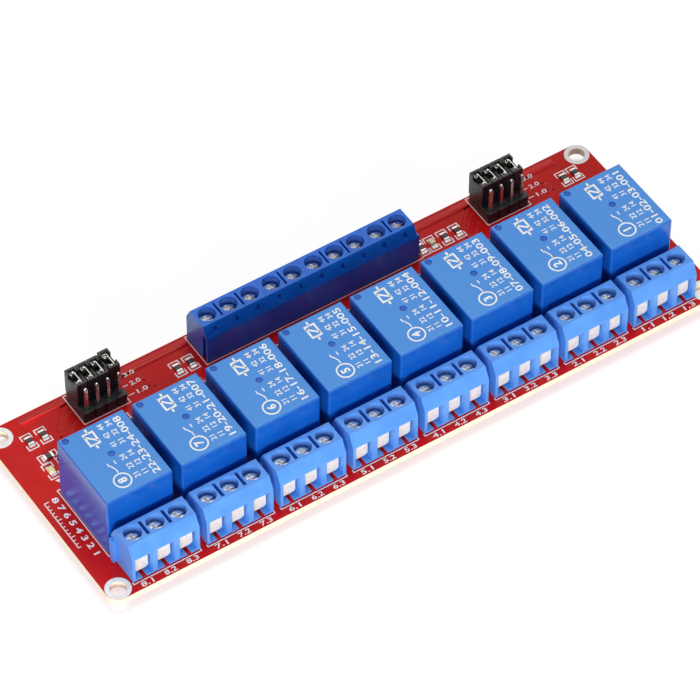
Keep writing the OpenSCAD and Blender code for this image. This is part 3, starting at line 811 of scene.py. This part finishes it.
def lay_tracks(name, paths, width, top=True):
    """Lays tracks of one width, each a list of (x, y) in mm, on the top or the underside."""
    offset = (COPPER_UP - COPPER_SUNK) / 2
    height = TOP + offset if top else -offset
    points, edges = [], []
    for path in paths:
        edges += [(len(points) + n, len(points) + n + 1) for n in range(len(path) - 1)]
        points += [(x, y, height) for x, y in path]
    sizes = {
        "Width": width * MM,
        "Thickness": (COPPER_UP + COPPER_SUNK) * MM,
        "Corner": TRACK_CORNER * MM,
    }
    grown(name, seed_mesh(points, edges), tracks, sizes)


def along_rear(inset):
    """A path from end to end of the board, that far from its rear edge."""
    y = board[1].y - inset
    return [(board[0].x + END_INSET, y), (board[1].x - END_INSET, y)]


tracks = track_tree(mask_over_copper)
lay_tracks("supply_track", [along_rear(1.7)], width=2.2)

# %% [markdown]
# Each row of jumper pins sends a track to either side, each input a track to the front, and
# each relay has two that run between its small parts. Tracks that lie side by side keep a
# pitch from each other, so a path is written once and moved along by a step. All of these points
# are in mm, in the board's own frame.

# %% Signal tracks on the top
ROWS_IN_FROM_REAR = (1.3, 3.8, 6.4)
LEFT_REACH, LEFT_STEP = 5.9, 1.1
RIGHT_REACH, RIGHT_CHAMFER = 4, 1.6
INPUT_LANES, LANE_STEP, INPUT_SPREAD = 5, 0.55, 0.35
FEED_ROUTES = (
    ((-6.3, 11.8), (-6.3, 6.2), (5.4, 6.2), (5.4, 8)),
    ((1.2, 13.2), (1.2, 15), (7.6, 15), (7.6, 7)),
)
signal_paths = []
for low, high in headers:
    for n, inset in enumerate(ROWS_IN_FROM_REAR):
        y = high.y - inset
        left = LEFT_REACH + LEFT_STEP * n
        right = high.x + RIGHT_REACH + n
        signal_paths.append([
            (low.x + 0.5, y), (low.x - 1.6, y),
            (low.x - left, y - left + 1.6), (low.x - left, y - left - 1.4),
        ])
        signal_paths.append([
            (high.x - 0.5, y), (right, y),
            (right + RIGHT_CHAMFER, y - RIGHT_CHAMFER), (right + RIGHT_CHAMFER, 9 + n),
        ])
for n, (low, high) in enumerate(inputs):
    x = (low.x + high.x) / 2
    lane = LANE_STEP * (n % INPUT_LANES)
    spread = x + (x - 0.4) * INPUT_SPREAD
    signal_paths.append([(x, low.y), (x, 14.4 - lane), (spread, 12.6 - lane), (spread, 8)])
lay_tracks("signal_tracks", signal_paths, width=0.32)
feed_paths = [
    [(place.x + x, y) for x, y in route]
    for place in relay_middle.values() for route in FEED_ROUTES
]
lay_tracks("feed_tracks", feed_paths, width=0.6)

# %% [markdown]
# The underside carries the load from each relay's pins to the screws in front of it, in wide
# tracks, and the two thin tracks of its coil. One broad ground track runs along the rear edge.

# %% Tracks on the underside
PIN_BACK, PIN_FRONT, PIN_SIDE = 7.1, -7.1, 6
COIL_PIN_BACK, COIL_NARROW = 5.1, 3.4
LOAD_BEND = 2.4
load_paths, coil_paths = [], []
for place in relay_middle.values():
    left, centre, right = poles_of(place)
    for x, pole in ((-PIN_SIDE, left), (PIN_SIDE, right)):
        pin_y = place.y + PIN_FRONT
        load_paths.append([(place.x + x, pin_y), (pole.x, pin_y - LOAD_BEND), (pole.x, pole.y)])
    load_paths.append([
        (place.x, place.y + PIN_BACK), (place.x, place.y + 2),
        (centre.x, place.y), (centre.x, centre.y),
    ])
    for side in (-1, 1):
        outer, inner = place.x + side * PIN_SIDE, place.x + side * COIL_NARROW
        pin_y = place.y + COIL_PIN_BACK
        coil_paths.append([(outer, pin_y), (outer, 8.4), (inner, 11), (inner, 15.5)])
lay_tracks("load_tracks", load_paths, width=2.6, top=False)
lay_tracks("coil_tracks", coil_paths, width=0.5, top=False)
lay_tracks("ground_track", [along_rear(1.6)], width=1.8, top=False)

# %% [markdown]
# ## White print
# The legend is ink, printed on the mask and on the relays. It is built as thin raised shapes:
# strips along lines, rings, and figures from Blender's own font. Only plain numbers and simple
# signs are used. A few helpers add closed shapes to one bmesh, in millimetres.


# %% Shape helpers for print
INK_UP = 0.03
INK_SUNK = 0.01


def prism(target, outline, low, high):
    """A closed upright prism on a counter-clockwise outline, in mm."""
    floor = [target.verts.new((x * MM, y * MM, low * MM)) for x, y in outline]
    roof = [target.verts.new((x * MM, y * MM, high * MM)) for x, y in outline]
    target.faces.new(roof)
    target.faces.new(reversed(floor))
    for n in range(len(outline)):
        after = (n + 1) % len(outline)
        target.faces.new((floor[n], floor[after], roof[after], roof[n]))


def offsets(points, width, closed):
    """The left and right sides of a line of points, mitred at its corners."""
    left, right = [], []
    count = len(points)
    for n in range(count):
        here = Vector(points[n])
        before = Vector(points[n - 1]) if closed or n else None
        after = Vector(points[(n + 1) % count]) if closed or n < count - 1 else None
        ways = [(b - a).normalized() for a, b in ((before, here), (here, after)) if a and b]
        normals = [Vector((-way.y, way.x)) for way in ways]
        out = sum(normals, Vector((0, 0))).normalized()
        reach = width / 2 / max(0.3, out.dot(normals[0]))
        left.append(here + out * reach)
        right.append(here - out * reach)
    return left, right


def strip(target, points, width, base, closed=False):
    """A flat ink strip along a line of points that lies on the height base, all in mm."""
    left, right = offsets(points, width, closed)
    low, high = base - INK_SUNK, base + INK_UP
    rows = [
        [target.verts.new((p.x * MM, p.y * MM, z * MM)) for p in side]
        for side, z in ((right, low), (right, high), (left, high), (left, low))
    ]
    count = len(points)
    for n in range(count if closed else count - 1):
        after = (n + 1) % count
        for a, b in ((0, 1), (1, 2), (2, 3), (3, 0)):
            target.faces.new((rows[a][n], rows[a][after], rows[b][after], rows[b][n]))
    if not closed:
        target.faces.new([row[0] for row in rows])
        target.faces.new([row[-1] for row in reversed(rows)])


def circle(centre, radius, steps):
    """Points on a circle, counter-clockwise."""
    angles = [math.tau * n / steps for n in range(steps)]
    return [(centre[0] + radius * math.cos(a), centre[1] + radius * math.sin(a)) for a in angles]


def outlined(target, low, high, margins, width):
    """A line on the board round a box, this far outside its left, front, right and rear."""
    left, front = low.x - margins[0], low.y - margins[1]
    right, rear = high.x + margins[2], high.y + margins[3]
    corner_points = [(left, front), (right, front), (right, rear), (left, rear)]
    strip(target, corner_points, width, TOP, closed=True)


def figures(target, words, place, height, base, turn=0.0, length=None, weight=0.0, flip=False):
    """Raised figures, centred on place, in mm.

    length spreads them over that width, weight makes them bolder, and flip is for the underside.
    """
    curve = bpy.data.curves.new("figures", "FONT")
    curve.body = words
    curve.size = 1
    curve.align_x, curve.align_y = "CENTER", "CENTER"
    curve.resolution_u = 2
    curve.offset = weight
    curve.extrude = 0.5
    text = bpy.data.objects.new("figures", curve)
    mesh = bpy.data.meshes.new_from_object(text)
    wide = max(v.co.x for v in mesh.vertices) - min(v.co.x for v in mesh.vertices)
    tall = max(v.co.y for v in mesh.vertices) - min(v.co.y for v in mesh.vertices)
    centre_y = (max(v.co.y for v in mesh.vertices) + min(v.co.y for v in mesh.vertices)) / 2
    size = height / tall
    stretch = length / wide if length else size
    thick = INK_UP + INK_SUNK
    lie = Matrix.Rotation(math.pi, 4, "Y") if flip else Matrix.Identity(4)
    middle_z = base + (INK_UP - INK_SUNK) / 2 * (-1 if flip else 1)
    mesh.transform(
        Matrix.Translation(Vector((place[0], place[1], middle_z)) * MM)
        @ Matrix.Rotation(math.radians(turn), 4, "Z") @ lie
        @ Matrix.Diagonal((stretch * MM, size * MM, thick * MM, 1))
        @ Matrix.Translation((0, -centre_y, 0))
    )
    glyphs = bmesh.new()
    glyphs.from_mesh(mesh)
    bmesh.ops.remove_doubles(glyphs, verts=glyphs.verts, dist=JOIN_DISTANCE)
    glyphs.to_mesh(mesh)
    glyphs.free()
    target.from_mesh(mesh)
    bpy.data.meshes.remove(mesh)
    bpy.data.objects.remove(text)


def printed(target, name):
    """Ends a bmesh of print as a piece."""
    bmesh.ops.recalc_face_normals(target, faces=target.faces[:])
    mesh = mesh_of(target, name, white_ink)
    print(name, len(mesh.polygons), "faces")
    return link_piece(name, mesh)


# %% Print round the parts
LINE = 0.2
HOLE_INSET = 2.75
HOLE_RING = 2.2
HOLE_RING_WIDTH = 0.95
RELAY_MARGINS = (0.18, 0.14, 0.18, 0.3)
INPUT_MARGINS = (0.35, 0.35, 0.5, 0.3)
HEADER_MARGINS = (0, 0.34, 0, 0.6)
HEADER_HALF = 5.35
legend = bmesh.new()
for x in (-1, 1):
    for y in (-1, 1):
        hole = (x * (board[1].x - HOLE_INSET), y * (board[1].y - HOLE_INSET))
        strip(legend, circle(hole, HOLE_RING, 48), HOLE_RING_WIDTH, TOP, closed=True)
for low, high in relays.values():
    outlined(legend, low, high, RELAY_MARGINS, LINE)
for low, high in terminals.values():
    left, right = low.x + 0.54, high.x - 0.06
    rear, front = low.y + 0.1, low.y - 0.5
    strip(legend, [(left, rear), (left, front), (right, front), (right, rear)], LINE, TOP)
outlined(legend, input_blocks[0][0], input_blocks[-1][1], INPUT_MARGINS, LINE)
for low, high in headers:
    centre = (low.x + high.x) / 2
    sides = Vector((centre - HEADER_HALF, low.y)), Vector((centre + HEADER_HALF, high.y))
    outlined(legend, *sides, HEADER_MARGINS, LINE)
print("legend:", len(legend.faces), "faces")

# %% Print round the small parts
BRACKET_HALF, BRACKET_OUT, BRACKET_ARM = 1.1, 2, 1.3
BRACKET_LINE, PACKAGE_LINE = 0.24, 0.16
BRACKET = (
    (-BRACKET_HALF, BRACKET_OUT - BRACKET_ARM), (-BRACKET_HALF, BRACKET_OUT),
    (BRACKET_HALF, BRACKET_OUT), (BRACKET_HALF, BRACKET_OUT - BRACKET_ARM),
)
LAMP_REACH = 8.2
LAMP_ROW_REAR = 14
PACKAGE_LENGTH = 2
for low, high in chips + lamps:
    centre = middle((low, high))
    bracket = [(y, x) for x, y in BRACKET] if lies_along_x(low, high) else BRACKET
    for side in (-1, 1):
        corner_points = [(centre.x + side * x, centre.y + side * y) for x, y in bracket]
        strip(legend, corner_points, BRACKET_LINE, TOP)
lamp_middles = [middle(box) for box in lamps if middle(box).y < LAMP_ROW_REAR]
for place in relay_middle.values():
    lamp = next(lamp for lamp in lamp_middles if abs(lamp.x - place.x) < LAMP_REACH)
    arrow = [(lamp.x - 0.55, lamp.y - 2.55), (lamp.x + 0.55, lamp.y - 2.55), (lamp.x, lamp.y - 3.5)]
    prism(legend, arrow, TOP - INK_SUNK, TOP + INK_UP)
for node, margin in (("optocouplers", 0.35), ("diodes", 0.4), ("transistors", 0.35)):
    for low, high in in_mm(solids_of(node)):
        if high.x - low.x > PACKAGE_LENGTH:
            outlined(legend, low, high, (margin,) * 4, PACKAGE_LINE)

# %% Numbers on the board
PIN_INSET_FRONT, PIN_INSET_REAR = 1.26, 1.28
RULE_INSET, RULE_START, RULE_STEPS = 1.5, 3.2, 13
SHORT_MARK, LONG_MARK, MARK_LINE = 2.1, 2.5, 0.18
for k, place in relay_middle.items():
    front = terminals[k][0].y
    for n, pole in enumerate(poles_of(place)):
        figures(legend, f"{k}.{n + 1}", (pole.x, front - 1.4), height=1.15, base=TOP,
                length=2.7, weight=0.012)
for low, high in headers:
    centre = (low.x + high.x) / 2
    rows = (low.y + PIN_INSET_FRONT, middle((low, high)).y, high.y - PIN_INSET_REAR)
    for n, y in enumerate(rows):
        strip(legend, [(centre + 5.9, y), (centre + 7.2, y)], LINE, TOP)
        figures(legend, f"{n + 1}.0", (centre + 8.9, y), height=1.1, base=TOP,
                length=2.4, weight=0.01)
edge = board[0].x
figures(legend, "8 7 6 5 4 3 2 1", (edge + 3.85, -5), height=1.4, base=TOP, turn=-90,
        length=16.6, weight=0.02)
rule = edge + RULE_INSET
strip(legend, [(rule, RULE_START), (rule, RULE_START - RULE_STEPS)], LINE, TOP)
for n in range(RULE_STEPS + 1):
    mark_end = edge + (LONG_MARK if n % 5 == 0 else SHORT_MARK)
    strip(legend, [(rule, RULE_START - n), (mark_end, RULE_START - n)], MARK_LINE, TOP)
printed(legend, "board_print")

# %% Numbers on the underside
under = bmesh.new()
for k, place in relay_middle.items():
    figures(under, str(k), (place.x - 3.2, place.y - 1), height=3, base=0, weight=0.02, flip=True)
for low, high in relays.values():
    for x in (low.x + 0.6, high.x - 0.6):
        prism(under, circle((x, -3), 0.4, 12), -INK_UP, INK_SUNK)
printed(under, "underside_print")

# %% [markdown]
# ## Print on the relays
# Each relay carries a bold line of figures along its long side, two rows of small numbers, the
# signs of a coil and of a contact, and a ring with the number of its channel. Pad printing never
# lands in quite the same place twice, so each relay's print is moved and turned a little, with a
# fixed seed.


# %% Signs for the relays
COIL_WIDTH = 0.42
CONTACT_WIDTH = 0.24


def turned(points, centre, degrees):
    """The points, given from the centre, turned and put in their place."""
    turn = Matrix.Rotation(math.radians(degrees), 2)
    return [tuple(turn @ Vector(p) + Vector(centre)) for p in points]


def coil_sign(target, centre, degrees, base):
    """A box with a stroke across it and a lead at each end."""
    box = [(-1.55, -1.05), (1.55, -1.05), (1.55, 1.05), (-1.55, 1.05)]
    strip(target, turned(box, centre, degrees), COIL_WIDTH, base, closed=True)
    for line in ([(-1.0, -1.05), (1.0, 1.05)], [(-2.7, 0), (-1.6, 0)], [(1.6, 0), (2.7, 0)]):
        strip(target, turned(line, centre, degrees), COIL_WIDTH, base)


def contact_sign(target, centre, degrees, base):
    """A changeover contact: a moving arm and two fixed points."""
    arm = [(-1.5, 0), (-0.6, 0), (0.75, 0.55)]
    for line in (arm, [(0.6, 0.75), (1.5, 0.75)], [(0.6, -0.75), (1.5, -0.75)]):
        strip(target, turned(line, centre, degrees), CONTACT_WIDTH, base)


# %% Print the relays
BOLD_ROW = 5.1
CONTACT_ROWS = (
    (3.15, "11  12  14", "31  32  34"),
    (1.35, "21  22  24", "41  42  44"),
)
RING_AT = (-1.7, -6.3)
RING_RADIUS = 1.75
RING_LINE = 0.32


def print_relay(target, channel, home, lean, base):
    """One relay's print, about home. Its lines run at lean degrees to the board's long side."""
    def spot(x, y):
        return turned([(x, y)], home, lean - 90)[0]

    first = 3 * channel - 2
    numbers = f"{first:02d}-{first + 1:02d}-{first + 2:02d}-00{channel}"
    figures(target, numbers, spot(BOLD_ROW, 0), 1.6, base, lean, length=16.4, weight=0.012)
    for x, near, far in CONTACT_ROWS:
        for words, y in ((near, -3.9), (far, 4.9)):
            figures(target, words, spot(x, y), 1.2, base, lean, length=6.6, weight=0.008)
    coil_sign(target, spot(-1.6, 5.8), lean, base)
    contact_sign(target, spot(-1.45, -2.7), lean, base)
    strip(target, circle(spot(*RING_AT), RING_RADIUS, 36), RING_LINE, base, closed=True)
    figures(target, str(channel), spot(*RING_AT), 1.9, base, lean, weight=0.03)


chance = random.Random(8)
relay_print = bmesh.new()
for k, (low, high) in relays.items():
    lean = 90 + chance.uniform(-1.2, 1.2)
    home = relay_middle[k].xy + Vector((chance.uniform(-0.15, 0.15), chance.uniform(-0.2, 0.2)))
    print_relay(relay_print, k, home, lean, high.z)
printed(relay_print, "relay_print")

# %% [markdown]
# ## Solder on the small parts
# A chip is held by a fillet of solder that climbs its end caps. Each fillet is the convex hull
# of a few corners: a part under the cap, a thin toe on the pad and a hollow slope between them.


# %% Solder fillets
FILLET_REACH = 0.45
FILLET_HEIGHT = 0.28
FILLET_TOE = 0.03
FILLET_UNDER = 0.25
FILLET_SUNK = 0.01
FILLET_OVERHANG = 0.1


def fillet(target, foot, way, across):
    """A solder wedge at a chip's end, in mm. way is the unit vector out of the end."""
    side = Vector((-way.y, way.x))
    profile = (
        (-FILLET_UNDER, 0), (FILLET_REACH, 0), (FILLET_REACH, FILLET_TOE),
        (FILLET_REACH * 0.4, FILLET_HEIGHT * 0.35),
        (0, FILLET_HEIGHT), (-FILLET_UNDER, FILLET_HEIGHT),
    )
    hull_corners = []
    for s in (-1, 1):
        for out, up in profile:
            p = foot + side * s * across / 2 + way * out
            height = TOP - FILLET_SUNK + up
            hull_corners.append(target.verts.new((p.x * MM, p.y * MM, height * MM)))
    made = bmesh.ops.convex_hull(target, input=hull_corners)
    spare = made["geom_interior"] + made["geom_unused"]
    spare_corners = {part for part in spare if isinstance(part, bmesh.types.BMVert)}
    bmesh.ops.delete(target, geom=list(spare_corners), context="VERTS")


fillets = bmesh.new()
for low, high in chips + lamps:
    way = Vector((1, 0)) if lies_along_x(low, high) else Vector((0, 1))
    half = (high - low).xy.dot(way) / 2
    across = min((high - low).xy) + FILLET_OVERHANG
    for side in (-1, 1):
        fillet(fillets, middle((low, high)).xy + side * half * way, side * way, across)
print("fillets:", len(fillets.faces), "faces")
link_piece("chip_solder", mesh_of(fillets, "chip_solder", solder))

# %% [markdown]
# ## Floor, background and light
# The board lies on a pale floor in front of a white background. The background is white, and
# the floor glows, only for the rays of the camera and those by gloss or glass, so neither sends
# that light to the part, and the floor keeps the part's shadow. A large soft light hangs
# overhead and a stronger one stands low in front, to the left.


# %% Floor
def seen_white(tree):
    """1 for the rays that see the background: from the camera, and by gloss or glass."""
    path = tree.nodes.new("ShaderNodeLightPath")
    seen = path.outputs["Is Camera Ray"]
    for kind in ("Is Glossy Ray", "Is Transmission Ray"):
        seen = computed(tree, "MAXIMUM", seen, path.outputs[kind])
    return seen


FLOOR_REACH = 3
FLOOR_GLOW = 0.5
floor_mesh = bpy.data.meshes.new("floor")
floor_corners = [
    (x * FLOOR_REACH, y * FLOOR_REACH, cad_low.z) for x, y in ((-1, -1), (1, -1), (1, 1), (-1, 1))
]
floor_mesh.from_pydata(floor_corners, [], [(0, 1, 2, 3)])
paper = finish(
    "floor_paper", paint(225, 225, 225), paint(232, 232, 232),
    rough=(0.85, 0.95), patch=60, grain=1, depth=0.0,
    Specular_IOR_Level=0, Emission_Color=(1, 1, 1, 1),
)
tree, shader, _ = parts_of(paper)
glow = computed(tree, "MULTIPLY", seen_white(tree), FLOOR_GLOW)
tree.links.new(glow, shader.inputs["Emission Strength"])
floor_mesh.materials.append(paper)
floor = bpy.data.objects.new("floor", floor_mesh)
bpy.context.scene.collection.objects.link(floor)
floor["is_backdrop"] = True

# %% Background
DIM_LEVEL, WHITE_LEVEL = 0.3, 1.0
world = bpy.data.worlds.new("studio")
world.use_nodes = True
bpy.context.scene.world = world
tree = world.node_tree
sky = tree.nodes["Background"]
sky.inputs["Color"].default_value = (1, 1, 1, 1)
level = scaled(tree, seen_white(tree), DIM_LEVEL, WHITE_LEVEL, start=0, end=1)
tree.links.new(level, sky.inputs["Strength"])


# %% Lamps
def soft_light(name, place, size, power):
    """A rectangular area light that looks at the middle of the board."""
    light = bpy.data.objects.new(name, bpy.data.lights.new(name, "AREA"))
    light.data.shape = "RECTANGLE"
    light.data.size, light.data.size_y = size
    light.data.energy = power
    light.location = place
    light.rotation_euler = Vector(place).to_track_quat("Z", "Y").to_euler()
    bpy.context.scene.collection.objects.link(light)


soft_light("overhead", place=(0.1, 0.25, 0.9), size=(0.6, 0.5), power=3.4)
soft_light("front", place=(-0.5, -0.82, 0.27), size=(0.5, 0.3), power=9.5)

# %% [markdown]
# ## Sizes at the end
# The whole must still fill the same box as the CAD did. Both boxes are written down.

# %% Write the sizes and finish
low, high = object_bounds()
print("box in mm:", [round(v / MM, 2) for v in high - low])
